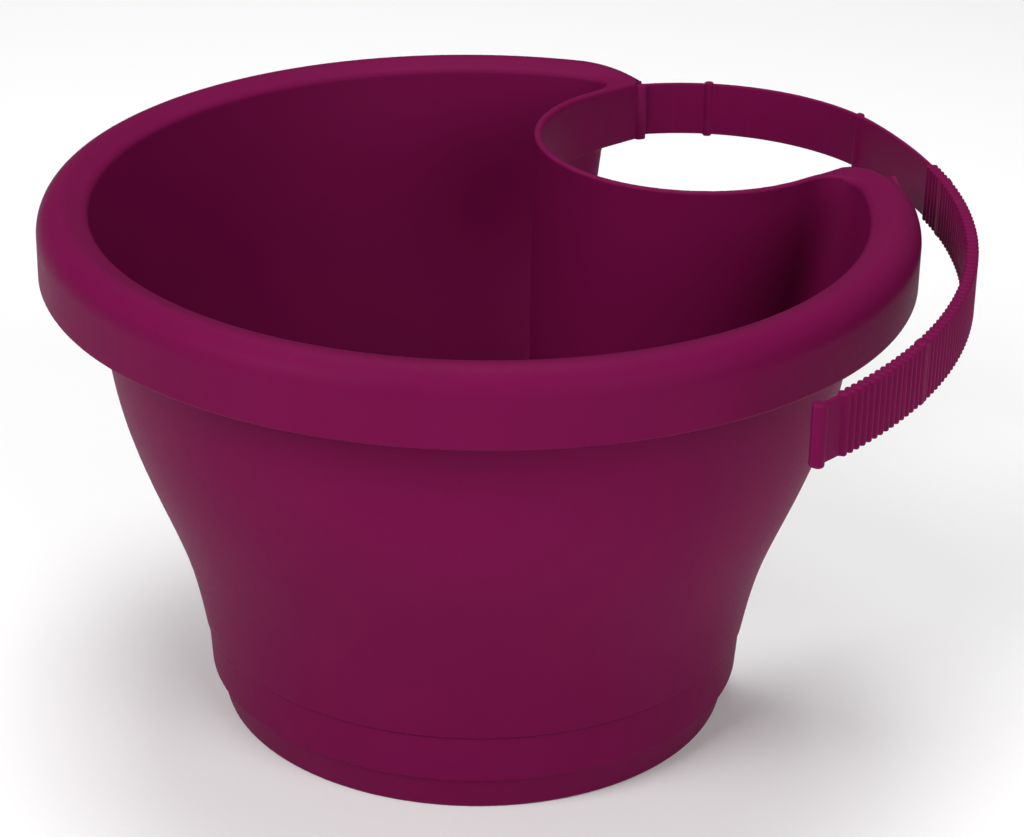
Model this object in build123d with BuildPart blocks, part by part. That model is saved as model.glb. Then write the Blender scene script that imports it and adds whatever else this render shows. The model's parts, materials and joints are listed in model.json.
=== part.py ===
"""A downpipe planter: a flared pot with a pipe channel, a push-on saucer and a toothed strap.

The pot stands on +Z with its base at z = 0. The pipe channel opens towards +Y. The strap starts
at the horn on the -X side, runs round behind the pipe and ends beside the rim on the +X side.
"""

import os
from math import cos, degrees, radians, sin

from build123d import *

os.makedirs("parts", exist_ok=True)

# Driving dimensions, mm
rim_radius = 120.3  # outside of the rim's skirt
rim_top = 152.3
rim_bottom = 132.0
rim_rounding = 8.0  # rounded outer shoulder of the rim
crest_radius = 113.0  # the rim's crest slopes down from here to its inner edge
inner_edge_radius = 107.0
channel_top = 150.3  # top edge of the channel wall, level with the rim's inner edge
wall = 2.2
channel_wall = 2.1
pipe_radius = 43.7  # the channel's pipe side
pipe_y = 79.3  # the pipe's centre
horn_end = 102.5  # both horns are cut off square here
horn_rounding = 9.5  # between the rim's circle and the horn's end
tip_rounding = 10.5  # upright corners where the pot's and the saucer's sides meet the channel

foot_top = 25.3  # the pot's body starts here, above the saucer
foot_gap = 0.4  # clearance all round between foot and saucer
saucer_wall = 1.7
saucer_height = 24.9
saucer_floor = 2.0
saucer_recess = 0.2  # the saucer stands back this far from the channel
saucer_step = 10.4  # height of the step in the saucer's side
saucer_base_radius = 71.6
saucer_low_radii = (72.4, 74.9)  # outside, at the edge of the base and under the step
saucer_high_radii = (76.2, 77.2)  # outside, over the step and at the top
pot_floor = 12.0
pot_floor_top = 14.4
drain_holes = 5
drain_hole_radius = 4.0
drain_circle_radius = 36.0
drain_arc = (-162, 144)  # first hole's angle and the arc they cover
foot_pads = 6  # between the pot's floor and the saucer's
foot_pad_radius = 4.0
foot_pad_circle = 58.0
foot_pad_arc = (-170, 160)

strap_bottom = 133.0
strap_height = 16.0
band = 1.5
barrel_radius = 1.6  # hinge barrels between the strap's links
root_radius = 1.2  # the first barrel, in the pot's socket
barrel_gap = 0.25
tooth_depth = 3.7  # across both faces
tooth_width = 1.4
tooth_pitch = 2.6
teeth_start = 117.6  # along the strap
teeth_end = 282.7
strap_length = 290.5  # to the centre of the end bead
end_bead_radius = 2.2
hinges_at = (0.0, 21.0, 47.0, 73.0, 101.0, 129.0, 157.5, 186.0, 215.0, 244.0, 268.0)

# The strap's centre line: a tight arc round the pipe, then a wide one outside the rim
strap_start = (-44.7, 99.4)
strap_heading = 64.7
tight_radius = 58.8
tight_length = 80.5
wide_radius = 166.9

tooth_count = round((teeth_end - teeth_start) / tooth_pitch)
tooth_margin = 2.6  # no teeth this near a hinge

# The socket under the -X horn: a C-shaped clip that the strap's first barrel turns in
socket_radius = 2.3
pin_gap = 0.08  # running clearance round the barrel
end_gap = 0.4  # above the barrel
swing_headings = (17, 131)  # the two sides of the socket's mouth
swing_reach = 8.0

# The catch under the +X horn, from the horn's end along the hollow under the rim
catch_start = (51.0, horn_end, rim_bottom)
catch_heading = radians(-35)
catch_length = 12.0
catch_middle = 10.5  # from the face of the horn
catch_slot = 4.3
catch_slot_length = 22.0
catch_slot_middle = 7.5
catch_wall = 1.8
catch_top = 149.5
catch_teeth = 4  # on each cheek
catch_tooth_radius = 0.6
catch_plane = Plane(origin=catch_start, x_dir=(cos(catch_heading), sin(catch_heading), 0), z_dir=(0, 0, 1))


def on_arc(start, heading, radius, distance):
    """Position and heading after a distance along an arc that turns clockwise."""
    turned = heading - degrees(distance / radius)
    x = start[0] + radius * (sin(radians(heading)) - sin(radians(turned)))
    y = start[1] + radius * (cos(radians(turned)) - cos(radians(heading)))
    return (x, y), turned


def on_strap(distance):
    """Position and heading at a distance along the strap's centre line."""
    if distance <= tight_length:
        return on_arc(strap_start, strap_heading, tight_radius, distance)
    bend, heading = on_arc(strap_start, strap_heading, tight_radius, tight_length)
    return on_arc(bend, heading, wide_radius, distance - tight_length)


def swing_corner(heading):
    """The outer end of one side of the socket's mouth."""
    turn = radians(heading)
    return strap_start[0] + swing_reach * cos(turn), strap_start[1] + swing_reach * sin(turn)


def body_line(inset):
    """The pot's S-shaped side as points from its foot to under the rim, moved in by inset."""
    heights_and_radii = (
        (foot_top, 78.1),
        (36.0, 80.2),
        (48.0, 83.3),
        (72.0, 92.4),
        (96.0, 100.2),
        (130.0, 105.4),
        (channel_top, 108.6),
    )
    return [(radius - inset, height) for height, radius in heights_and_radii]


def channel_block(offset, bottom, top):
    """A block of the pipe channel's outline, grown by offset, to cut from a solid."""
    radius = pipe_radius + offset
    with BuildPart() as block:
        with BuildSketch(Plane.XY.offset(bottom)):
            with Locations((0, pipe_y)):
                Circle(radius)
            with Locations((0, pipe_y + rim_radius / 2)):
                Rectangle(2 * radius, rim_radius)
        extrude(amount=top - bottom)
    return block.part


def rim_plate(inset, bottom, top, rounding):
    """A disc with both horns rounded off, before the channel is cut through it."""
    radius = rim_radius - inset
    corner = horn_rounding - inset
    corner_y = horn_end - horn_rounding
    corner_x = ((rim_radius - horn_rounding) ** 2 - corner_y**2) ** 0.5
    tip_y = corner_y + corner
    touch = radius / (radius - corner)
    with BuildPart() as plate:
        with BuildSketch(Plane.XY.offset(bottom)):
            with BuildLine():
                ThreePointArc(
                    (-corner_x * touch, corner_y * touch), (0, -radius), (corner_x * touch, corner_y * touch)
                )
                RadiusArc((corner_x * touch, corner_y * touch), (corner_x, tip_y), -corner)
                Line((corner_x, tip_y), (-corner_x, tip_y))
                RadiusArc((-corner_x, tip_y), (-corner_x * touch, corner_y * touch), -corner)
            make_face()
        extrude(amount=top - bottom)
        fillet(plate.edges().group_by(Axis.Z)[-1], rounding)
    return plate.part


def turned_body(inset, closing_top):
    """The pot's side above the foot turned into a solid, up to a given top."""
    line = body_line(inset)
    with BuildPart() as body:
        with BuildSketch(Plane.XZ):
            with BuildLine():
                Polyline((0, closing_top), (0, foot_top), line[0])
                side = Spline(*line)
                Line(side @ 1, (line[-1][0], closing_top))
                Line((line[-1][0], closing_top), (0, closing_top))
            make_face()
        revolve(axis=Axis.Z)
    return body.part


def crescent_body(inset, channel_offset, closing_top):
    """The turned body with the pipe channel cut away and the crescent's two tips rounded."""
    with BuildPart() as body:
        add(turned_body(inset, closing_top))
        add(channel_block(channel_offset, 0, closing_top + 1), mode=Mode.SUBTRACT)
        upright = body.edges().filter_by(lambda edge: edge.bounding_box().size.Z > channel_top / 3)
        fillet(upright.filter_by(lambda edge: edge.center().Y > pipe_y + wall), tip_rounding - inset)
    return body.part


def crescent_plate(radius, channel_offset, rounding, bottom, top):
    """A disc with the pipe channel cut away and the crescent's two tips rounded."""
    with BuildPart() as plate:
        with BuildSketch(Plane.XY.offset(bottom)):
            Circle(radius)
        extrude(amount=top - bottom)
        add(channel_block(channel_offset, bottom, top), mode=Mode.SUBTRACT)
        upright = plate.edges().filter_by(Axis.Z)
        fillet(upright.filter_by(lambda edge: abs(edge.center().X) > pipe_radius / 2), rounding)
    return plate.part


# The foot follows the inside of the saucer
foot_radius_low = 72.5
foot_radius_high = saucer_high_radii[1] - saucer_wall - foot_gap
foot_inset = saucer_wall + foot_gap + saucer_recess
foot_rounding = tip_rounding - saucer_wall - foot_gap
rim_roof = rim_top - wall - 0.6  # top of the hollow under the rim

with BuildPart() as foot:
    with BuildSketch(Plane.XZ):
        with BuildLine():
            Polyline(
                (0, foot_top), (0, pot_floor), (foot_radius_low, pot_floor), (foot_radius_high, foot_top), close=True
            )
        make_face()
    revolve(axis=Axis.Z)
    add(crescent_plate(foot_radius_high, foot_inset, foot_rounding, 0, foot_top), mode=Mode.INTERSECT)

with BuildPart() as well:
    with BuildSketch(Plane.XZ):
        with BuildLine():
            Polyline(
                (0, foot_top + wall),
                (0, pot_floor_top),
                (foot_radius_low - wall, pot_floor_top),
                (foot_radius_high - wall, foot_top + wall),
                close=True,
            )
        make_face()
    revolve(axis=Axis.Z)
    well_plate = crescent_plate(
        foot_radius_high - wall, foot_inset + channel_wall, foot_rounding - wall, 0, foot_top + wall
    )
    add(well_plate, mode=Mode.INTERSECT)

with BuildPart() as cavity:
    add(crescent_body(wall, channel_wall, rim_top + 1))
    with BuildSketch(Plane.XY.offset(foot_top)):
        Circle(rim_radius)
    extrude(amount=wall, mode=Mode.SUBTRACT)
    add(well.part)

with BuildPart() as rim_hollow:
    add(rim_plate(wall, rim_bottom - 1, rim_roof, rim_rounding - wall))
    add(channel_block(channel_wall, 0, rim_top), mode=Mode.SUBTRACT)
    add(crescent_body(0, 0, rim_top), mode=Mode.SUBTRACT)

# Pot: body, floor, channel wall and rolled rim in one moulding
with BuildPart() as pot:
    add(crescent_body(0, 0, rim_top - wall / 2))
    add(rim_plate(0, rim_bottom, rim_top, rim_rounding))
    with BuildSketch(Plane.XZ):
        with BuildLine():
            Polyline(
                (0, rim_top + 1),
                (0, channel_top),
                (inner_edge_radius, channel_top),
                (crest_radius, rim_top),
                (crest_radius, rim_top + 1),
                close=True,
            )
        make_face()
    revolve(axis=Axis.Z, mode=Mode.SUBTRACT)
    add(channel_block(0, 0, rim_top + 1), mode=Mode.SUBTRACT)
    add(rim_hollow.part, mode=Mode.SUBTRACT)

    # Toothed catch under the +X horn: the strap is pressed up into it from below
    with BuildSketch(catch_plane):
        with Locations((catch_middle, 0)):
            Rectangle(catch_length, catch_slot + 2 * catch_wall)
    extrude(amount=catch_top + 1 - rim_bottom)
    with BuildSketch(catch_plane):
        with Locations((catch_slot_middle, 0)):
            Rectangle(catch_slot_length, catch_slot)
    extrude(amount=catch_top - rim_bottom, mode=Mode.SUBTRACT)
    with BuildSketch(catch_plane):
        with Locations((catch_middle, 0)):
            with GridLocations(tooth_pitch, catch_slot, catch_teeth, 2):
                Circle(catch_tooth_radius)
    extrude(amount=catch_top + 1 - rim_bottom)

    # Socket at the -X horn: a C-shaped clip round the strap's first barrel
    with BuildSketch(Plane.XY.offset(rim_bottom)):
        with Locations(strap_start):
            Circle(socket_radius)
    extrude(amount=channel_top - rim_bottom - 1)
    with BuildSketch(Plane.XY.offset(rim_bottom - 1)):
        with Locations(strap_start):
            Circle(root_radius + pin_gap)
        with BuildLine():
            Polyline(strap_start, *map(swing_corner, swing_headings), close=True)
        make_face()
    extrude(amount=strap_bottom + strap_height + end_gap - rim_bottom + 1, mode=Mode.SUBTRACT)

    add(foot.part)
    add(cavity.part, mode=Mode.SUBTRACT)
    with BuildSketch(Plane.XY.offset(pot_floor)):
        with PolarLocations(drain_circle_radius, drain_holes, *drain_arc):
            Circle(drain_hole_radius)
    extrude(amount=pot_floor_top - pot_floor + 1, mode=Mode.SUBTRACT)
    with BuildSketch(Plane.XY.offset(saucer_floor)):
        with PolarLocations(foot_pad_circle, foot_pads, *foot_pad_arc):
            Circle(foot_pad_radius)
    extrude(amount=pot_floor - saucer_floor)

# Saucer: a crescent dish pushed on over the pot's foot
with BuildPart() as saucer_inside:
    with BuildSketch(Plane.XZ):
        with BuildLine():
            Polyline(
                (0, saucer_height + 1),
                (0, saucer_floor),
                (saucer_low_radii[0] - saucer_wall + 0.2, saucer_floor),
                (saucer_low_radii[1] - saucer_wall - 0.2, saucer_step),
                (saucer_high_radii[0] - saucer_wall, saucer_step + 1),
                (saucer_high_radii[1] - saucer_wall, saucer_height),
                (saucer_high_radii[1] - saucer_wall, saucer_height + 1),
                close=True,
            )
        make_face()
    revolve(axis=Axis.Z)
    inside_plate = crescent_plate(
        saucer_high_radii[1] - saucer_wall, saucer_recess + saucer_wall, tip_rounding - saucer_wall, 0, foot_top + 1
    )
    add(inside_plate, mode=Mode.INTERSECT)

with BuildPart() as saucer:
    with BuildSketch(Plane.XZ):
        with BuildLine():
            Polyline(
                (0, saucer_height),
                (0, 0),
                (saucer_base_radius, 0),
                (saucer_low_radii[0], saucer_low_radii[0] - saucer_base_radius),
                (saucer_low_radii[1], saucer_step),
                (saucer_high_radii[0], saucer_step + 0.5),
                (saucer_high_radii[1], saucer_height),
                close=True,
            )
        make_face()
    revolve(axis=Axis.Z)
    add(crescent_plate(saucer_high_radii[1], saucer_recess, tip_rounding, 0, saucer_height), mode=Mode.INTERSECT)
    add(saucer_inside.part, mode=Mode.SUBTRACT)


def strap_link(start, end, is_last):
    """One stiff length of the strap: a barrel at its start and a hollow end for the next barrel."""
    with BuildPart() as link:
        with BuildSketch(Plane.XY.offset(strap_bottom)):
            with BuildLine():
                stops = [start, end]
                if start < tight_length < end:
                    stops.insert(1, tight_length)
                for near, far in zip(stops, stops[1:]):
                    middle = on_strap((near + far) / 2)[0]
                    ThreePointArc(on_strap(near)[0], middle, on_strap(far)[0])
            trace(line_width=band)
            for number in range(tooth_count):
                place = teeth_start + number * tooth_pitch
                if start + tooth_margin < place < end - tooth_margin:
                    point, heading = on_strap(place)
                    with Locations(Location((*point, 0), (0, 0, heading + 90))):
                        SlotOverall(tooth_depth, tooth_width)
            with Locations(on_strap(start)[0]):
                Circle(barrel_radius if start > 0 else root_radius)
            with Locations(on_strap(end)[0]):
                if is_last:
                    Circle(end_bead_radius)
                else:
                    Circle(barrel_radius + barrel_gap, mode=Mode.SUBTRACT)
        extrude(amount=strap_height)
    return link.part


pieces = {"pot": pot.part, "saucer": saucer.part}
link_ends = (*hinges_at[1:], strap_length)
for number, (start, end) in enumerate(zip(hinges_at, link_ends), start=1):
    pieces[f"strap_link_{number:02d}"] = strap_link(start, end, end == strap_length)

for name, piece in pieces.items():
    piece.label = name
    export_step(piece, f"parts/{name}.step")
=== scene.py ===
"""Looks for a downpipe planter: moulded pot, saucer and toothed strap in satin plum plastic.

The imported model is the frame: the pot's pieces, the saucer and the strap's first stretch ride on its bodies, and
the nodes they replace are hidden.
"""

import json
from math import cos, radians, sin

import bpy
import numpy as np
from bpy.props import FloatProperty, FloatVectorProperty, IntProperty, PointerProperty
from bpy.types import Operator, Panel, PropertyGroup
from mathutils import Matrix, Vector


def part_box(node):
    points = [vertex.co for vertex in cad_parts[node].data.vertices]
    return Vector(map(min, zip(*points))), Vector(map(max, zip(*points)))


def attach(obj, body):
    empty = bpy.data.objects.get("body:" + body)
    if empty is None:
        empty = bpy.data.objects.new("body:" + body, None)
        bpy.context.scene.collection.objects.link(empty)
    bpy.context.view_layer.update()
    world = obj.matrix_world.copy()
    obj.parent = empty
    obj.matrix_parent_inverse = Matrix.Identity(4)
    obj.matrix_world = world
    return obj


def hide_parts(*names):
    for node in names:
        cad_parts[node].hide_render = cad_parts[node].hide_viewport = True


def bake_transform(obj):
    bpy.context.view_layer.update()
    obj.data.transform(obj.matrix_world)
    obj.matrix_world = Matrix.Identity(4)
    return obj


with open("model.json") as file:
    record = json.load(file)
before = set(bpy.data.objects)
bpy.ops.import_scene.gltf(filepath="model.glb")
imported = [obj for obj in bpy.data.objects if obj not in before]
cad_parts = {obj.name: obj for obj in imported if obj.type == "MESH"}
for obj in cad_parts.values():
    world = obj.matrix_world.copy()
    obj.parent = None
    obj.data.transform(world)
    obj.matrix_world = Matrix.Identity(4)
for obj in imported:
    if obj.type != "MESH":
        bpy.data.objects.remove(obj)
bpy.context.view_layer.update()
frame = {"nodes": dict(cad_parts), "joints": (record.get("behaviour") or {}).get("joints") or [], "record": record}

bl_info = {
    "name": "Downpipe Planter",
    "version": (1, 0, 0),
    "blender": (4, 5, 0),
    "location": "View3D > Sidebar > Planter",
    "description": "Builds a strap-on downpipe planter in moulded plastic",
    "category": "Object",
}

MM = 0.001
POT_LOW, POT_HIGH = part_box("pot")
SAUCER_LOW, SAUCER_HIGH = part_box("saucer")
STRAP_LOW, STRAP_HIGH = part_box("strap_link_01")
LINKS = sorted(name for name in frame["nodes"] if name.startswith("strap_link"))
PIPE = next(mount for mount in frame["record"]["mounts"] if mount["name"] == "pipe_channel")
ROOT_HINGE = next(joint for joint in frame["joints"] if joint["name"] == "strap_root")
STRAP_START = Vector(ROOT_HINGE["pos_m"])
MOUTH_HEADINGS = (17, 131)  # the two sides of the mouth of the strap's socket
CATCH_START = np.array((0.051, POT_HIGH.y))  # in the face of the +X horn
CATCH_HEADING = radians(-35)
CATCH_NEAR = 4.5 * MM  # where the catch's cheeks start and end along its slot
CATCH_FAR = 16.5 * MM
CATCH_TOOTH_DEPTH = 0.55 * MM
CATCH_ROOM_MIDDLE = 7.5 * MM  # the room cleared for the catch, along its slot
CATCH_ROOM_HALF = 11 * MM
HOLE_HEADINGS = (-162, -18)  # first and last drain hole, in degrees
PAD_HEADINGS = (-170, -10)  # first and last pad
HINGES = (0, 21, 47, 73, 101, 129, 157.5, 186, 215, 244, 268)  # mm along the strap, one for each link


def length(name, description, millimetres):
    """A length property with its default in millimetres."""
    return FloatProperty(
        name=name,
        description=description,
        default=millimetres * MM,
        precision=5,
        subtype="DISTANCE",
        unit="LENGTH",
    )


# ------------------------------------------------------------------ sizes and finishes
class PlanterPot(PropertyGroup):
    """Sizes of the pot moulding."""

    rim_radius: length("Rim Radius", "Outside of the rolled rim's skirt", POT_HIGH.x / MM)
    rim_top: length("Rim Top", "Crest of the rolled rim", POT_HIGH.z / MM)
    rim_bottom: length("Rim Bottom", "Lower edge of the rim's skirt", 132.0)
    rim_rounding: length("Rim Rounding", "Radius of the rim's outer shoulder", 8.0)
    crest_inner: length("Crest Inside", "Radius where the crest starts to fall to the inner edge", 113.0)
    lip_radius: length("Inner Edge", "Radius of the rim's inner edge", 107.0)
    wall_top: length("Wall Top", "Top edge of the channel wall", 150.3)
    wall: length("Wall", "Thickness of the pot's side", 2.2)
    channel_wall: length("Channel Wall", "Thickness of the wall round the pipe", 2.1)
    pipe_radius: length("Pipe Radius", "Radius of the pipe channel", PIPE["dims"]["r_mm"])
    pipe_y: length("Pipe Centre", "Distance of the pipe from the pot's axis", PIPE["pos_m"][1] / MM)
    horn_end: length("Horn End", "Where both horns are cut off square", POT_HIGH.y / MM)
    horn_rounding: length("Horn Rounding", "Corner between the rim and the horn's end", 9.5)
    tip_rounding: length("Tip Rounding", "Where the side meets the channel, under each horn", 10.5)
    foot_top: length("Foot Top", "Start of the pot's side, above the saucer", 25.3)
    foot_radius: length("Foot Radius", "Outside of the foot at its top", 75.1)
    foot_inset: length("Foot Inset", "How far the foot stands back from the channel", 2.3)
    floor_bottom: length("Floor", "Underside of the pot's floor", 12.0)
    floor_top: length("Floor Top", "Upper side of the pot's floor", 14.4)
    hole_radius: length("Drain Hole", "Radius of a drain hole", 4.0)
    hole_circle: length("Hole Circle", "Radius of the circle of drain holes", 36.0)
    hole_count: IntProperty(name="Drain Holes", description="Number of drain holes", default=5, min=1)
    pad_radius: length("Pad Radius", "Radius of a pad that holds the floor off the saucer", 4.0)
    pad_circle: length("Pad Circle", "Radius of the circle of pads", 58.0)
    pad_count: IntProperty(name="Pads", description="Number of pads", default=6, min=1)


class PlanterSaucer(PropertyGroup):
    """Sizes of the saucer."""

    top: length("Height", "Rim of the saucer", SAUCER_HIGH.z / MM + 0.2)
    step: length("Step", "Height of the step in the saucer's side", 10.7)
    lower_radius: length("Lower Radius", "Side below the step, read down to the base", 72.2)
    lower_slope: FloatProperty(
        name="Lower Slope", description="Flare of the side below the step", default=0.26
    )
    upper_radius: length("Upper Radius", "Side above the step, read down to the base", 75.42)
    upper_slope: FloatProperty(
        name="Upper Slope", description="Flare of the side above the step", default=0.0714
    )
    wall: length("Wall", "Thickness of the saucer's side", 1.7)
    floor: length("Floor", "Thickness of the saucer's floor", 2.0)
    recess: length("Recess", "How far the saucer stands back from the channel", 0.2)


class PlanterStrap(PropertyGroup):
    """Sizes of the strap, its socket and its catch."""

    tight_radius: length("Tight Radius", "Bend round the pipe", 58.8)
    tight_length: length("Tight Length", "Length of the bend round the pipe", 80.5)
    wide_radius: length("Wide Radius", "Bend outside the rim", 166.9)
    heading: FloatProperty(
        name="Heading", description="Direction of the strap's start", default=radians(64.7), subtype="ANGLE"
    )
    length: length("Length", "From the first barrel to the end bead", 290.5)
    band: length("Band", "Thickness of the plain band", 1.5)
    bottom: length("Bottom", "Lower edge of the strap", STRAP_LOW.z / MM)
    top: length("Top", "Upper edge of the strap", STRAP_HIGH.z / MM)
    bead_radius: length("Bead Radius", "Moulded beads across the band", 1.45)
    root_radius: length("Root Radius", "First barrel, in the socket", 1.2)
    end_radius: length("End Radius", "Bead at the free end", 1.95)
    first_tooth: length("First Tooth", "Place of the first tooth along the strap", 117.6)
    tooth_count: IntProperty(name="Teeth", description="Number of teeth on each face", default=64, min=1)
    pitch: length("Tooth Pitch", "Distance between two teeth", 2.6)
    tooth_depth: length("Tooth Depth", "Thickness over both rows of teeth", 3.4)
    tooth_valley: length("Tooth Valley", "Thickness between two teeth", 2.2)
    socket_radius: length("Socket Radius", "Outside of the C-shaped socket", 2.3)
    socket_bore: length("Socket Bore", "Bore of the socket", 1.28)
    catch_slot: length("Catch Slot", "Width of the toothed catch", 4.3)
    catch_wall: length("Catch Wall", "Thickness of the catch's cheeks", 1.8)


class PlanterFinish(PropertyGroup):
    """Colour and surface of the plastic."""

    plum: FloatVectorProperty(
        name="Plum",
        description="Colour of the plastic",
        subtype="COLOR",
        size=3,
        default=(0.134, 0.0038, 0.048),
    )
    scuffed: FloatVectorProperty(
        name="Scuffed",
        description="Colour of rubbed edges",
        subtype="COLOR",
        size=3,
        default=(0.22, 0.02, 0.1),
    )
    gloss: FloatProperty(
        name="Roughness", description="Roughness of the satin surface", default=0.5, min=0, max=1
    )
    grain: length("Grain", "Size of the spark-eroded grain", 0.45)
    grain_depth: length("Grain Depth", "Depth of the spark-eroded grain", 0.02)


class PlanterStage(PropertyGroup):
    """Camera, floor and lights."""

    camera: FloatVectorProperty(
        name="Camera",
        description="Place of the camera",
        size=3,
        unit="LENGTH",
        default=(0.5893, -0.4869, 0.4508),
    )
    aim: FloatVectorProperty(
        name="Aim",
        description="Point the camera looks at",
        size=3,
        unit="LENGTH",
        default=(0.0063, 0.0076, 0.0832),
    )
    roll: FloatProperty(name="Roll", description="Tilt of the camera", default=radians(1.09), subtype="ANGLE")
    lens: FloatProperty(name="Lens", description="Focal length of the camera in mm", default=105.47)
    floor: FloatVectorProperty(
        name="Floor", description="Colour of the floor", subtype="COLOR", size=3, default=(0.92, 0.92, 0.92)
    )


# ------------------------------------------------------------------ moulded shapes as fields
# A field is negative inside the plastic and grows with the distance outside it.
TIP_SHARPNESS = 1.6  # smooth_max rounds an acute corner less than its radius says

# Radii of a moulding's small roundings, from its crispest edges to the fillet round its floor.
CUT_EDGE = 0.3 * MM
HOLE_EDGE = 0.4 * MM
HOLLOW_EDGE = 0.5 * MM
INNER_EDGE = 0.6 * MM
OUTER_EDGE = 0.8 * MM
SAUCER_EDGE = 0.9 * MM
BROAD_EDGE = 1.0 * MM
FLOOR_FILLET = 1.5 * MM
FOOT_SLOPE = 0.195  # flare of the foot


def smooth_max(a, b, radius):
    """The overlap of two fields, its outer edge rounded to a radius."""
    outside = np.hypot(np.maximum(radius + a, 0), np.maximum(radius + b, 0))
    return np.minimum(-radius, np.maximum(a, b)) + outside


def smooth_min(a, b, radius):
    """Two fields joined, with a fillet of a radius between them."""
    return -smooth_max(-a, -b, radius)


def ease(low, high, value):
    """0 below low, 1 above high, smooth between."""
    t = np.clip((value - low) / (high - low), 0, 1)
    return t * t * (3 - 2 * t)


class SmoothLine:
    """A natural cubic spline through (position, value) points, the curve of a bent batten."""

    def __init__(self, points):
        self.at = np.array([position for position, _ in points])
        self.value = np.array([value for _, value in points])
        gap = np.diff(self.at)
        rise = np.diff(self.value) / gap
        inner = np.diag(2 * (gap[:-1] + gap[1:])) + np.diag(gap[1:-1], 1) + np.diag(gap[1:-1], -1)
        self.bend = np.zeros(len(self.at))
        self.bend[1:-1] = np.linalg.solve(inner, 6 * np.diff(rise))

    def __call__(self, position):
        position = np.clip(position, self.at[0], self.at[-1])
        i = np.clip(np.searchsorted(self.at, position) - 1, 0, len(self.at) - 2)
        gap = self.at[i + 1] - self.at[i]
        a = (self.at[i + 1] - position) / gap
        b = 1 - a
        bent = (a**3 - a) * self.bend[i] + (b**3 - b) * self.bend[i + 1]
        return a * self.value[i] + b * self.value[i + 1] + bent * gap**2 / 6


def side_line(pot):
    """The pot's S-shaped side: its radius at each height."""
    return SmoothLine(
        (
            (pot.foot_top, 78.1 * MM),
            (36 * MM, 80.2 * MM),
            (48 * MM, 83.3 * MM),
            (72 * MM, 92.4 * MM),
            (96 * MM, 100.2 * MM),
            (130 * MM, 105.4 * MM),
            (pot.wall_top, 108.6 * MM),
        )
    )


def channel_field(x, y, pot):
    """Distance outside the pipe channel's wall line: a half circle with straight sides towards +Y."""
    return np.hypot(x, np.minimum(y - pot.pipe_y, 0)) - pot.pipe_radius


def catch_axes(x, y):
    """Distance along and across the catch's slot, from the face of the +X horn."""
    from_x = x - CATCH_START[0]
    from_y = y - CATCH_START[1]
    along = from_x * cos(CATCH_HEADING) + from_y * sin(CATCH_HEADING)
    across = from_y * cos(CATCH_HEADING) - from_x * sin(CATCH_HEADING)
    return along, across


def round_posts(x, y, z, count, circle, headings, radius, heights):
    """Upright cylinders between two heights, evenly spaced on part of a circle, as one field."""
    low, high = heights
    field = np.inf
    for angle in np.radians(np.linspace(*headings, count)):
        from_axis = np.hypot(x - circle * cos(angle), y - circle * sin(angle))
        field = np.minimum(field, from_axis - radius)
    return smooth_max(field, np.abs(z - (low + high) / 2) - (high - low) / 2, HOLE_EDGE)


def pot_shell(x, y, z, pot, side_at):
    """The pot's body, hollow rolled rim, channel wall, floor and foot."""
    r = np.hypot(x, y)
    channel = channel_field(x, y, pot)
    side = r - side_at(z)
    crescent = smooth_max(side, -channel, pot.tip_rounding * TIP_SHARPNESS)
    body = smooth_max(crescent, z - pot.wall_top, BROAD_EDGE)
    body = smooth_max(body, pot.foot_top - z, CUT_EDGE)

    skirt = smooth_max(r - pot.rim_radius, y - pot.horn_end, pot.horn_rounding)
    crest = pot.wall_top + (pot.rim_top - pot.wall_top) * ease(pot.lip_radius - MM, pot.crest_inner + MM, r)
    rim = smooth_max(skirt, z - crest, pot.rim_rounding)
    rim = smooth_max(rim, -channel, 1.0 * MM + 2.0 * MM * ease(pot.horn_end - 8 * MM, pot.horn_end, y))
    rim = smooth_max(rim, pot.rim_bottom - z, OUTER_EDGE)

    roof = z - crest + pot.wall + 0.6 * MM
    hollow = smooth_max(skirt + pot.wall, roof, pot.rim_rounding - pot.wall)
    hollow = smooth_max(hollow, pot.channel_wall - channel, BROAD_EDGE)
    hollow = smooth_max(hollow, -crescent, HOLLOW_EDGE)

    foot_side = r - pot.foot_radius - FOOT_SLOPE * (z - pot.foot_top)
    foot_rounding = (pot.tip_rounding - pot.foot_inset) * TIP_SHARPNESS
    foot = smooth_max(foot_side, pot.foot_inset - channel, foot_rounding)
    foot = smooth_max(foot, pot.floor_bottom - z, OUTER_EDGE)
    foot = np.maximum(foot, z - pot.foot_top - MM)

    inner_rounding = (pot.tip_rounding - pot.wall) * TIP_SHARPNESS
    inside = smooth_max(side + pot.wall, pot.channel_wall - channel, inner_rounding)
    inside = smooth_max(inside, pot.foot_top + pot.wall - z, BROAD_EDGE)
    well_rounding = foot_rounding - pot.wall * TIP_SHARPNESS
    well = smooth_max(foot_side + pot.wall, pot.foot_inset + pot.channel_wall - channel, well_rounding)
    well = smooth_max(well, pot.floor_top - z, FLOOR_FILLET)

    lip = 0.9 * MM + 1.6 * MM * ease(3 * MM, 12 * MM, channel)
    shell = smooth_max(smooth_min(body, rim, OUTER_EDGE), -hollow, INNER_EDGE)
    shell = smooth_max(np.minimum(shell, foot), -inside, lip)
    return smooth_max(shell, -well, INNER_EDGE)


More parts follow.
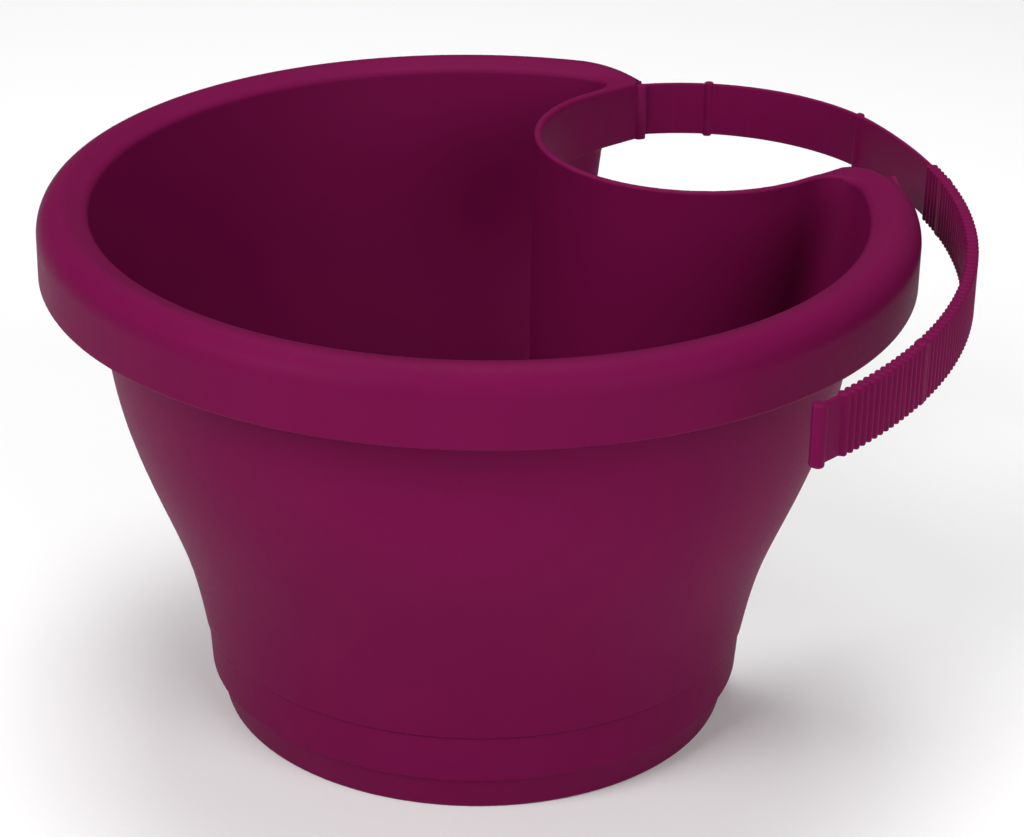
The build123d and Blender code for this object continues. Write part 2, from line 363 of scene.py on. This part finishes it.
def pot_field(x, y, z, pot, strap, side_at):
    """The pot moulding with drain holes, pads, and room for the strap's socket and catch."""
    shell = pot_shell(x, y, z, pot, side_at)
    drilled = (8 * MM, pot.floor_top + 4 * MM)
    holes = round_posts(x, y, z, pot.hole_count, pot.hole_circle, HOLE_HEADINGS, pot.hole_radius, drilled)
    shell = smooth_max(shell, -holes, HOLE_EDGE)
    standing = (2 * MM, pot.floor_bottom + MM)
    pads = round_posts(x, y, z, pot.pad_count, pot.pad_circle, PAD_HEADINGS, pot.pad_radius, standing)
    shell = smooth_min(shell, pads, INNER_EDGE)

    from_x = x - STRAP_START.x
    from_y = y - STRAP_START.y
    first, last = np.radians(MOUTH_HEADINGS)
    swing = np.maximum(from_x * sin(first) - from_y * cos(first), from_y * cos(last) - from_x * sin(last))
    seat = np.minimum(np.hypot(from_x, from_y) - strap.socket_radius + 0.15 * MM, swing)
    shell = smooth_max(shell, -np.maximum(seat, z - strap.top - 0.4 * MM), CUT_EDGE)

    along, across = catch_axes(x, y)
    slot_ends = np.abs(along - CATCH_ROOM_MIDDLE) - CATCH_ROOM_HALF
    slot = np.maximum(slot_ends, np.abs(across) - strap.catch_slot / 2)
    return smooth_max(shell, -np.maximum(slot, z - strap.top - 0.5 * MM), CUT_EDGE)


def saucer_field(x, y, z, pot, saucer):
    """The saucer: a crescent dish with a step in its side, open at the top."""
    r = np.hypot(x, y)
    channel = channel_field(x, y, pot) - saucer.recess
    step = ease(saucer.step - 0.35 * MM, saucer.step + 0.35 * MM, z)
    lower = saucer.lower_radius + saucer.lower_slope * z
    upper = saucer.upper_radius + saucer.upper_slope * z
    side = r - lower * (1 - step) - upper * step
    shell = smooth_max(side, -channel, pot.tip_rounding * TIP_SHARPNESS)
    shell = smooth_max(shell, -z, SAUCER_EDGE)
    shell = smooth_max(shell, z - saucer.top, CUT_EDGE)
    inner_rounding = (pot.tip_rounding - saucer.wall) * TIP_SHARPNESS
    inside = smooth_max(side + saucer.wall, saucer.wall - channel, inner_rounding)
    inside = smooth_max(inside, saucer.floor - z, FLOOR_FILLET)
    return smooth_max(shell, -inside, HOLLOW_EDGE)


def surface_net(field, axes):
    """Corners, four-sided faces and normals of a field's surface on a grid with these three axes."""
    values = field(axes[0][:, None, None], axes[1][None, :, None], axes[2][None, None, :])
    inside = values < 0
    steps = [(i, j, k) for i in (0, 1) for j in (0, 1) for k in (0, 1)]
    shape = tuple(n - 1 for n in values.shape)

    def corner(array, step):
        return array[tuple(slice(s, s + n) for s, n in zip(step, shape))]

    filled = sum(corner(inside, step).astype(np.int8) for step in steps)
    cells = np.argwhere((filled > 0) & (filled < 8))
    at = {step: values[tuple((cells + step).T)] for step in steps}
    total = np.zeros((len(cells), 3))
    count = np.zeros((len(cells), 1))
    for near in steps:
        for axis in range(3):
            if near[axis]:
                continue
            far = tuple(1 if i == axis else v for i, v in enumerate(near))
            crosses = (at[near] < 0) != (at[far] < 0)
            share = at[near] / np.where(crosses, at[near] - at[far], 1)
            point = np.array(near, float) + share[:, None] * (np.array(far) - np.array(near))
            total += point * crosses[:, None]
            count += crosses[:, None]
    places = cells + total / count
    points = np.stack([np.interp(places[:, i], np.arange(len(axes[i])), axes[i]) for i in range(3)], 1)
    number = np.full(shape, -1)
    number[tuple(cells.T)] = np.arange(len(cells))

    faces = []
    for axis in range(3):
        across = [(axis + 1) % 3, (axis + 2) % 3]
        near = [slice(1, n) for n in shape]
        far = list(near)
        near[axis], far[axis] = slice(0, shape[axis]), slice(1, shape[axis] + 1)
        leaving = inside[tuple(near)] & ~inside[tuple(far)]
        entering = inside[tuple(far)] & ~inside[tuple(near)]
        for edges, ring in (
            (leaving, ((-1, -1), (0, -1), (0, 0), (-1, 0))),
            (entering, ((-1, -1), (-1, 0), (0, 0), (0, -1))),
        ):
            base = np.argwhere(edges)
            base[:, across] += 1
            corners = []
            for shift in ring:
                cell = base.copy()
                cell[:, across] += shift
                corners.append(number[tuple(cell.T)])
            faces.append(np.stack(corners, 1))
    return (*pull_to_surface(field, points), np.concatenate(faces))


def gradient(field, points):
    """Slope of a field at points."""
    tiny = 0.02 * MM
    columns = []
    for shift in np.eye(3) * tiny:
        columns.append((field(*(points + shift).T) - field(*(points - shift).T)) / (2 * tiny))
    return np.stack(columns, 1)


def pull_to_surface(field, points):
    """Points moved exactly onto a field's surface, and the surface's normals there."""
    for _ in range(4):
        slope = gradient(field, points)
        steepness = np.maximum((slope**2).sum(1), 0.2)
        move = (field(*points.T) / steepness)[:, None] * slope
        size = np.linalg.norm(move, axis=1, keepdims=True)
        points = points - move * np.minimum(1, 0.4 * MM / np.maximum(size, 1e-9))
    normals = gradient(field, points)
    normals /= np.maximum(np.linalg.norm(normals, axis=1, keepdims=True), 1e-9)
    return points, normals


def levels(*bands):
    """Grid positions over bands of (start, step) in turn, up to the last band's start."""
    parts = [np.arange(start, stop - step / 2, step) for (start, step), (stop, _) in zip(bands, bands[1:])]
    return np.concatenate(parts)


# ------------------------------------------------------------------ meshes
SHARP_FROM = radians(50)  # faces that meet at more than this keep a crisp edge
RIB_SHARP_FROM = radians(60)  # the strap's small ribs stay soft up to this


def mesh_object(name, points, faces, normals=None):
    """A smooth-shaded mesh object from arrays of corners and four-sided faces."""
    mesh = bpy.data.meshes.new(name)
    mesh.vertices.add(len(points))
    mesh.vertices.foreach_set("co", np.asarray(points, np.float32).ravel())
    mesh.loops.add(faces.size)
    mesh.loops.foreach_set("vertex_index", faces.ravel().astype(np.int32))
    mesh.polygons.add(len(faces))
    mesh.polygons.foreach_set("loop_start", np.arange(0, faces.size, faces.shape[1], dtype=np.int32))
    mesh.update(calc_edges=True)
    mesh.validate()
    mesh.shade_smooth()
    if normals is None:
        mesh.set_sharp_from_angle(angle=SHARP_FROM)
    else:
        mesh.normals_split_custom_set_from_vertices(normals)
    piece = bpy.data.objects.new(name, mesh)
    bpy.context.scene.collection.objects.link(piece)
    return piece


def mixed_mesh_object(name, points, faces, sharp_from):
    """A mesh object from lists of corners and faces, creased where it turns past an angle."""
    mesh = bpy.data.meshes.new(name)
    mesh.from_pydata(points, [], faces)
    mesh.validate()
    mesh.shade_smooth()
    mesh.set_sharp_from_angle(angle=sharp_from)
    piece = bpy.data.objects.new(name, mesh)
    bpy.context.scene.collection.objects.link(piece)
    return piece


def upright_prism(name, outline, low, high, bevel):
    """A flat outline drawn up into a solid with small bevels at both ends."""
    outline = np.asarray(outline)
    ahead = np.roll(outline, -1, 0) - outline
    behind = outline - np.roll(outline, 1, 0)
    ahead /= np.linalg.norm(ahead, axis=1, keepdims=True)
    behind /= np.linalg.norm(behind, axis=1, keepdims=True)
    inward = np.stack([-(ahead + behind)[:, 1], (ahead + behind)[:, 0]], 1)
    inward /= np.maximum(np.linalg.norm(inward, axis=1, keepdims=True), 0.5)
    rings = ((low, bevel), (low + bevel, 0), (high - bevel, 0), (high, bevel))
    count = len(outline)
    points = [
        (*(corner + inset * side), height) for height, inset in rings for corner, side in zip(outline, inward)
    ]
    faces = [list(range(count))[::-1], list(range(3 * count, 4 * count))]
    for ring in range(3):
        for i in range(count):
            j = (i + 1) % count
            faces.append([ring * count + i, ring * count + j, (ring + 1) * count + j, (ring + 1) * count + i])
    return mixed_mesh_object(name, points, faces, SHARP_FROM)


def dress(piece, material):
    """Gives a piece its material."""
    piece.data.materials.append(material)


# ------------------------------------------------------------------ shared effects
def new_group(name, inputs, outputs):
    """An empty shader node group with named sockets, and its input and output nodes."""
    group = bpy.data.node_groups.new(name, "ShaderNodeTree")
    for direction, sockets in (("INPUT", inputs), ("OUTPUT", outputs)):
        for socket_name, kind in sockets:
            group.interface.new_socket(name=socket_name, in_out=direction, socket_type=f"NodeSocket{kind}")
    return group, group.nodes.new("NodeGroupInput"), group.nodes.new("NodeGroupOutput")


def math_node(group, operation, first, second):
    """A math node with sockets or numbers as its two inputs. Returns its output."""
    node = group.nodes.new("ShaderNodeMath")
    node.operation = operation
    for socket, value in zip(node.inputs, (first, second)):
        if isinstance(value, (int, float)):
            socket.default_value = value
        else:
            group.links.new(value, socket)
    return node.outputs[0]


def noise_node(group, scale, detail, roughness=0.5):
    """Noise fixed to the piece. The scale is a number or a socket. Returns its output."""
    place = group.nodes.new("ShaderNodeTexCoord")
    noise = group.nodes.new("ShaderNodeTexNoise")
    group.links.new(place.outputs["Object"], noise.inputs["Vector"])
    if isinstance(scale, (int, float)):
        noise.inputs["Scale"].default_value = scale
    else:
        group.links.new(scale, noise.inputs["Scale"])
    noise.inputs["Detail"].default_value = detail
    noise.inputs["Roughness"].default_value = roughness
    return noise.outputs["Fac"]


def range_node(group, value, from_low, from_high, to_low, to_high):
    """Maps a value from one range to another, clamped. Returns its output."""
    node = group.nodes.new("ShaderNodeMapRange")
    group.links.new(value, node.inputs["Value"])
    ends = {"From Min": from_low, "From Max": from_high, "To Min": to_low, "To Max": to_high}
    for name, number in ends.items():
        node.inputs[name].default_value = number
    return node.outputs["Result"]


def mix_node(group, share, first, second):
    """A mix of two colours. Returns its output."""
    node = group.nodes.new("ShaderNodeMix")
    node.data_type = "RGBA"
    for name, value in (("Factor_Float", share), ("A_Color", first), ("B_Color", second)):
        socket = next(s for s in node.inputs if s.identifier == name)
        group.links.new(value, socket)
    return next(s for s in node.outputs if s.identifier == "Result_Color")


def spark_grain_group():
    """Fine pitted grain of a spark-eroded mould, as a height."""
    group, given, result = new_group(
        "Spark Grain", [("Grain", "Float"), ("Depth", "Float")], [("Height", "Float")]
    )
    frequency = math_node(group, "DIVIDE", 1.0, given.outputs["Grain"])
    fine = noise_node(group, frequency, 2.0, 0.6)
    broad = noise_node(group, math_node(group, "MULTIPLY", frequency, 0.35), 1.0)
    pits = range_node(group, fine, 0.3, 0.7, 0.0, 1.0)
    both = math_node(group, "ADD", pits, math_node(group, "MULTIPLY", broad, 0.6))
    group.links.new(math_node(group, "MULTIPLY", both, given.outputs["Depth"]), result.inputs["Height"])
    return group


def moulded_tone_group():
    """Slight clouds in colour and sheen, as cooled plastic has."""
    group, given, result = new_group(
        "Moulded Tone",
        [("Color", "Color"), ("Deep Color", "Color"), ("Roughness", "Float")],
        [("Color", "Color"), ("Roughness", "Float")],
    )
    clouds = noise_node(group, 14.0, 3.0)
    share = range_node(group, clouds, 0.3, 0.75, 0.0, 0.5)
    clouded = mix_node(group, share, given.outputs["Color"], given.outputs["Deep Color"])
    group.links.new(clouded, result.inputs["Color"])
    speckle = range_node(group, noise_node(group, 900.0, 2.0), 0.3, 0.7, -0.04, 0.04)
    patches = range_node(group, noise_node(group, 30.0, 2.0), 0.3, 0.7, -0.03, 0.03)
    shifted = math_node(group, "ADD", given.outputs["Roughness"], math_node(group, "ADD", speckle, patches))
    group.links.new(shifted, result.inputs["Roughness"])
    return group


def edge_wear_group():
    """Edges rubbed paler and smoother, broken up by noise."""
    group, given, result = new_group(
        "Edge Wear",
        [("Color", "Color"), ("Scuffed", "Color"), ("Roughness", "Float"), ("Amount", "Float")],
        [("Color", "Color"), ("Roughness", "Float")],
    )
    shape = group.nodes.new("ShaderNodeNewGeometry")
    edge = range_node(group, shape.outputs["Pointiness"], 0.53, 0.62, 0.0, 1.0)
    broken = range_node(group, noise_node(group, 160.0, 4.0), 0.35, 0.65, 0.25, 1.0)
    mask = math_node(group, "MULTIPLY", math_node(group, "MULTIPLY", edge, broken), given.outputs["Amount"])
    rubbed = mix_node(group, mask, given.outputs["Color"], given.outputs["Scuffed"])
    group.links.new(rubbed, result.inputs["Color"])
    worn = math_node(group, "SUBTRACT", given.outputs["Roughness"], math_node(group, "MULTIPLY", mask, 0.1))
    group.links.new(worn, result.inputs["Roughness"])
    return group


def shared_group(name, maker):
    """A node group by name, made the first time it is asked for."""
    return bpy.data.node_groups.get(name) or maker()


def plum_plastic(name, finish, wear, grain_share):
    """Satin plum polypropylene with a spark-eroded grain."""
    if name in bpy.data.materials:
        return bpy.data.materials[name]
    material = bpy.data.materials.new(name)
    material.use_nodes = True
    tree = material.node_tree
    shader = tree.nodes["Principled BSDF"]
    shader.inputs["IOR"].default_value = 1.49
    shader.inputs["Specular IOR Level"].default_value = 0.028

    tone = tree.nodes.new("ShaderNodeGroup")
    tone.node_tree = shared_group("Moulded Tone", moulded_tone_group)
    tone.inputs["Color"].default_value = (*finish.plum, 1)
    tone.inputs["Deep Color"].default_value = (*(0.8 * c for c in finish.plum), 1)
    tone.inputs["Roughness"].default_value = finish.gloss

    edges = tree.nodes.new("ShaderNodeGroup")
    edges.node_tree = shared_group("Edge Wear", edge_wear_group)
    edges.inputs["Scuffed"].default_value = (*finish.scuffed, 1)
    edges.inputs["Amount"].default_value = wear
    tree.links.new(tone.outputs["Color"], edges.inputs["Color"])
    tree.links.new(tone.outputs["Roughness"], edges.inputs["Roughness"])
    tree.links.new(edges.outputs["Color"], shader.inputs["Base Color"])
    tree.links.new(edges.outputs["Roughness"], shader.inputs["Roughness"])

    grain = tree.nodes.new("ShaderNodeGroup")
    grain.node_tree = shared_group("Spark Grain", spark_grain_group)
    grain.inputs["Grain"].default_value = finish.grain * grain_share
    grain.inputs["Depth"].default_value = 1.0
    bump = tree.nodes.new("ShaderNodeBump")
    bump.inputs["Distance"].default_value = finish.grain_depth
    bump.inputs["Strength"].default_value = 0.6
    tree.links.new(grain.outputs["Height"], bump.inputs["Height"])
    tree.links.new(bump.outputs["Normal"], shader.inputs["Normal"])
    return material


def pot_plastic():
    """The pot's and saucer's plastic."""
    return plum_plastic("Pot plastic", bpy.context.scene.planter_finish, wear=0.35, grain_share=1.0)


def strap_plastic():
    """The strap's plastic, a little finer in grain and more handled."""
    return plum_plastic("Strap plastic", bpy.context.scene.planter_finish, wear=0.5, grain_share=0.8)


# ------------------------------------------------------------------ pieces
class PLANTER_OT_pot(Operator):
    """Moulds the pot with its rolled rim, pipe channel, floor and foot"""

    bl_idname = "planter.pot"
    bl_label = "Pot"

    def execute(self, context):
        pot = context.scene.planter_pot
        strap = context.scene.planter_strap
        side_at = side_line(pot)

        def field(x, y, z):
            return pot_field(x, y, z, pot, strap, side_at)

        cell = 1.0 * MM
        reach = np.ceil((pot.rim_radius + 2 * cell) / cell) * cell
        across = np.arange(-reach, reach + cell / 2, cell)
        heights = levels(
            (0, cell),
            (pot.foot_top - 1.5 * MM, 0.4 * cell),
            (pot.foot_top + 1.5 * MM, 1.2 * cell),
            (pot.rim_bottom - 1.5 * MM, 0.4 * cell),
            (pot.rim_bottom + 2 * MM, 0.8 * cell),
            (pot.rim_top + 2 * MM, 0),
        )
        front_to_back = across[across < pot.horn_end + 3 * cell]
        points, normals, faces = surface_net(field, (across, front_to_back, heights))
        piece = mesh_object("pot_moulding", points, faces, normals)
        dress(piece, pot_plastic())
        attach(piece, "pot")
        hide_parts("pot")
        return {"FINISHED"}


class PLANTER_OT_saucer(Operator):
    """Moulds the saucer that pushes on over the pot's foot"""

    bl_idname = "planter.saucer"
    bl_label = "Saucer"

    def execute(self, context):
        pot = context.scene.planter_pot
        saucer = context.scene.planter_saucer

        def field(x, y, z):
            return saucer_field(x, y, z, pot, saucer)

        cell = 0.9 * MM
        reach = np.ceil((SAUCER_HIGH.x + 2 * cell) / cell) * cell
        across = np.arange(-reach, reach + cell / 2, cell)
        heights = levels(
            (-2 * MM, 0.6 * cell),
            (saucer.step - 1.2 * MM, 0.35 * cell),
            (saucer.step + 1.2 * MM, cell),
            (saucer.top - 1.5 * MM, 0.4 * cell),
            (saucer.top + 1 * MM, 0),
        )
        points, normals, faces = surface_net(field, (across, across, heights))
        piece = mesh_object("saucer_moulding", points, faces, normals)
        dress(piece, pot_plastic())
        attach(piece, "saucer")
        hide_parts("saucer")
        return {"FINISHED"}


class PLANTER_OT_strap_seats(Operator):
    """Makes the strap's socket in one horn and the toothed catch in the other"""

    bl_idname = "planter.strap_seats"
    bl_label = "Strap Seats"

    def execute(self, context):
        pot = context.scene.planter_pot
        strap = context.scene.planter_strap
        socket_corners = 40
        outer = np.radians(np.linspace(MOUTH_HEADINGS[1], MOUTH_HEADINGS[0] + 360, socket_corners))
        centre = np.array(STRAP_START.xy)
        round_outside = [centre + strap.socket_radius * np.array((cos(a), sin(a))) for a in outer]
        round_bore = [centre + strap.socket_bore * np.array((cos(a), sin(a))) for a in outer[::-1]]
        ring = round_outside + round_bore
        socket = upright_prism("strap_socket", ring, pot.rim_bottom, strap.top + 0.4 * MM, 0.2 * MM)
        dress(socket, pot_plastic())
        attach(socket, "pot")

        along_way = np.array((cos(CATCH_HEADING), sin(CATCH_HEADING)))
        across_way = np.array((-along_way[1], along_way[0]))
        tooth_stations = 61
        inner = strap.catch_slot / 2
        for name, side in (("catch_cheek_inner", -1), ("catch_cheek_outer", 1)):
            row = []
            for place in np.linspace(CATCH_NEAR, CATCH_FAR, tooth_stations):
                ridge = max(0.0, cos(2 * np.pi * (place - CATCH_NEAR - strap.pitch / 2) / strap.pitch))
                row.append((place, inner - CATCH_TOOTH_DEPTH * ridge))
            back = inner + strap.catch_wall
            outline = row + [(CATCH_FAR, back), (CATCH_NEAR, back)]
            if side < 0:
                outline = [(a, -b) for a, b in outline][::-1]
            flat = [CATCH_START + a * along_way + b * across_way for a, b in outline]
            cheek = upright_prism(name, flat, pot.rim_bottom, strap.top + 0.6 * MM, 0.25 * MM)
            dress(cheek, pot_plastic())
            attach(cheek, "pot")
        return {"FINISHED"}


def on_arc(start, heading, radius, distance):
    """Position and heading after distances along an arc that turns clockwise."""
    turned = heading - distance / radius
    x = start[0] + radius * (np.sin(heading) - np.sin(turned))
    y = start[1] + radius * (np.cos(turned) - np.cos(heading))
    return x, y, turned


def on_strap(distance, strap):
    """Position and heading at distances along the strap: a tight bend, then a wide one."""
    tight = np.minimum(distance, strap.tight_length)
    x, y, heading = on_arc(STRAP_START.xy, strap.heading, strap.tight_radius, tight)
    bend = on_arc(STRAP_START.xy, strap.heading, strap.tight_radius, strap.tight_length)
    wide = on_arc(bend[:2], bend[2], strap.wide_radius, distance - strap.tight_length)
    beyond = distance > strap.tight_length
    return tuple(np.where(beyond, far, near) for far, near in zip(wide, (x, y, heading)))


def bead(distance, centre, radius):
    """Half thickness of a round bead along the strap."""
    return np.sqrt(np.maximum(radius**2 - (distance - centre) ** 2, 0))


def strap_section(distance, beads, strap):
    """Half thickness of the strap, and how far it stands above and below its edges, at distances along it."""
    phase = (distance - strap.first_tooth) / strap.pitch
    toothed = (phase > -0.5) & (phase < strap.tooth_count - 0.5)
    ridge = np.maximum(0.5 + 0.5 * np.cos(2 * np.pi * phase), 0) ** 0.6
    tooth = strap.tooth_valley / 2 + (strap.tooth_depth - strap.tooth_valley) / 2 * ridge
    thickness = np.where(toothed, tooth, strap.band / 2)
    extra = np.where(toothed, 0.3 * MM * ridge, 0)

    for centre in beads:
        radius = np.where(toothed, strap.tooth_depth / 2, strap.bead_radius)
        thickness = np.maximum(thickness, bead(distance, centre, radius))
        crown = ease(strap.bead_radius, 0.7 * strap.bead_radius, np.abs(distance - centre))
        extra = np.maximum(extra, 0.45 * MM * crown)
    root_bead = bead(distance, 0, strap.root_radius)
    thickness = np.where(distance < 0, root_bead, np.maximum(thickness, root_bead))
    end_bead = bead(distance, strap.length, strap.end_radius)
    thickness = np.where(distance > strap.length, end_bead, np.cbrt(thickness**3 + end_bead**3))
    extra = np.maximum(extra, 0.3 * MM * ease(strap.band / 2, strap.end_radius, end_bead))
    return thickness, extra


def strap_mesh(name, start, end, beads, strap):
    """A closed stretch of the strap between two distances along it."""
    step = 0.2 * MM
    stations = np.linspace(start, end, int(np.ceil((end - start) / step)) + 1)
    x, y, heading = on_strap(stations, strap)
    half, extra = strap_section(stations, beads, strap)
    half = np.maximum(half, 0.1 * MM)
    corner = np.minimum(0.45 * MM, half)
    middle = (strap.top + strap.bottom) / 2
    upright = (strap.top - strap.bottom) / 2 + extra

    turns = np.radians([0, 22.5, 45, 67.5, 90])
    ring = []
    for out, up in ((1, 1), (-1, 1), (-1, -1), (1, -1)):
        swing = turns if out * up > 0 else turns[::-1]
        for turn in swing:
            sideways = half - corner + corner * np.cos(turn)
            upwards = upright - corner + corner * np.sin(turn)
            ring.append((out * sideways, up * upwards))
    count = len(ring)
    points = np.empty((len(stations), count, 3))
    for i, (out, up) in enumerate(ring):
        points[:, i, 0] = x - out * np.sin(heading)
        points[:, i, 1] = y + out * np.cos(heading)
        points[:, i, 2] = middle + up
    first = np.arange(len(stations) - 1)[:, None] * count
    here = np.arange(count)[None, :]
    following = (here + 1) % count
    sides = np.stack([first + here, first + following, first + count + following, first + count + here], -1)
    faces = [list(face) for face in sides.reshape(-1, 4)]
    last = (len(stations) - 1) * count
    faces.append(list(range(count))[::-1])
    faces.append(list(range(last, last + count)))
    return mixed_mesh_object(name, points.reshape(-1, 3).tolist(), faces, RIB_SHARP_FROM)


class PLANTER_OT_strap(Operator):
    """Makes the toothed strap as stretches, one round each of its hinges"""

    bl_idname = "planter.strap"
    bl_label = "Strap"

    def execute(self, context):
        strap = context.scene.planter_strap
        hinges = np.array(HINGES) * MM
        beads = hinges[1:10:2]
        cuts = (hinges + np.append(hinges[1:], strap.length)) / 2
        starts = np.append(-strap.root_radius, cuts[:-1])
        ends = np.append(cuts[:-1], strap.length + strap.end_radius)
        for number, (link, start, end) in enumerate(zip(LINKS, starts, ends)):
            piece = strap_mesh(f"strap_stretch_{number + 1:02d}", start, end, beads, strap)
            dress(piece, strap_plastic())
            if number:
                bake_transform(piece)
            else:
                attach(piece, link)
            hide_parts(link)
        return {"FINISHED"}


# ------------------------------------------------------------------ stage
def area_light(name, place, aim, size, power):
    """A square soft light that faces a point."""
    light = bpy.data.lights.new(name, "AREA")
    light.size = size
    light.energy = power
    lamp = bpy.data.objects.new(name, light)
    lamp.location = place
    lamp.rotation_euler = (Vector(aim) - Vector(place)).to_track_quat("-Z", "Y").to_euler()
    bpy.context.scene.collection.objects.link(lamp)


class PLANTER_OT_stage(Operator):
    """Lays the floor and sets the soft lights and the camera"""

    bl_idname = "planter.stage"
    bl_label = "Stage"

    def execute(self, context):
        scene = context.scene
        stage = scene.planter_stage
        scene.view_settings.view_transform = "Standard"

        half = 4.0
        corners = np.array([(-half, -half, 0), (half, -half, 0), (half, half, 0), (-half, half, 0)])
        floor = mesh_object("floor", corners, np.array([[0, 1, 2, 3]]))
        paper = bpy.data.materials.new("Pale floor")
        paper.use_nodes = True
        paper.node_tree.nodes["Principled BSDF"].inputs["Base Color"].default_value = (*stage.floor, 1)
        paper.node_tree.nodes["Principled BSDF"].inputs["Roughness"].default_value = 0.8
        floor.data.materials.append(paper)

        world = bpy.data.worlds.new("Soft studio")
        world.use_nodes = True
        world.node_tree.nodes["Background"].inputs["Color"].default_value = (1, 1, 1, 1)
        world.node_tree.nodes["Background"].inputs["Strength"].default_value = 0.18
        scene.world = world

        middle = (0, 0, 0.1)
        area_light("Key light", place=(0.1, -1.6, 1.3), aim=middle, size=1.0, power=27)
        area_light("Fill light", place=(1.7, -0.1, 1.0), aim=middle, size=1.2, power=18)
        area_light("Top light", place=(-0.3, 0.2, 1.9), aim=middle, size=1.0, power=22)

        camera_data = bpy.data.cameras.new("Camera")
        camera_data.lens = stage.lens
        camera_data.sensor_width = 36
        camera = bpy.data.objects.new("Camera", camera_data)
        forward = (Vector(stage.aim) - Vector(stage.camera)).normalized()
        right = forward.cross(Vector((0, 0, 1))).normalized()
        up = right.cross(forward)
        tilted_right = right * cos(stage.roll) + up * sin(stage.roll)
        tilted_up = up * cos(stage.roll) - right * sin(stage.roll)
        turn = Matrix((tilted_right, tilted_up, -forward)).transposed()
        camera.matrix_world = Matrix.Translation(Vector(stage.camera)) @ turn.to_4x4()
        scene.collection.objects.link(camera)
        scene.camera = camera
        return {"FINISHED"}


# ------------------------------------------------------------------ sidebar
STEPS = ("planter.pot", "planter.saucer", "planter.strap_seats", "planter.strap", "planter.stage")


class PLANTER_PT_sidebar(Panel):
    """Lists the planter's pieces in the sidebar"""

    bl_idname = "PLANTER_PT_sidebar"
    bl_label = "Downpipe Planter"
    bl_space_type = "VIEW_3D"
    bl_region_type = "UI"
    bl_category = "Planter"

    def draw(self, context):
        for step in STEPS:
            self.layout.operator(step)


GROUPS = {
    "planter_pot": PlanterPot,
    "planter_saucer": PlanterSaucer,
    "planter_strap": PlanterStrap,
    "planter_finish": PlanterFinish,
    "planter_stage": PlanterStage,
}
OPERATORS = (PLANTER_OT_pot, PLANTER_OT_saucer, PLANTER_OT_strap_seats, PLANTER_OT_strap, PLANTER_OT_stage)


def register():
    """Adds the planter's properties, operators and panel."""
    for name, group in GROUPS.items():
        bpy.utils.register_class(group)
        setattr(bpy.types.Scene, name, PointerProperty(type=group))
    for item in (*OPERATORS, PLANTER_PT_sidebar):
        bpy.utils.register_class(item)


def unregister():
    """Takes the planter's properties, operators and panel away again."""
    for item in (PLANTER_PT_sidebar, *reversed(OPERATORS)):
        bpy.utils.unregister_class(item)
    for name, group in reversed(GROUPS.items()):
        delattr(bpy.types.Scene, name)
        bpy.utils.unregister_class(group)


def main():
    register()
    bpy.ops.planter.pot()
    bpy.ops.planter.saucer()
    bpy.ops.planter.strap_seats()
    bpy.ops.planter.strap()
    bpy.ops.planter.stage()


if __name__ == "__main__":
    main()
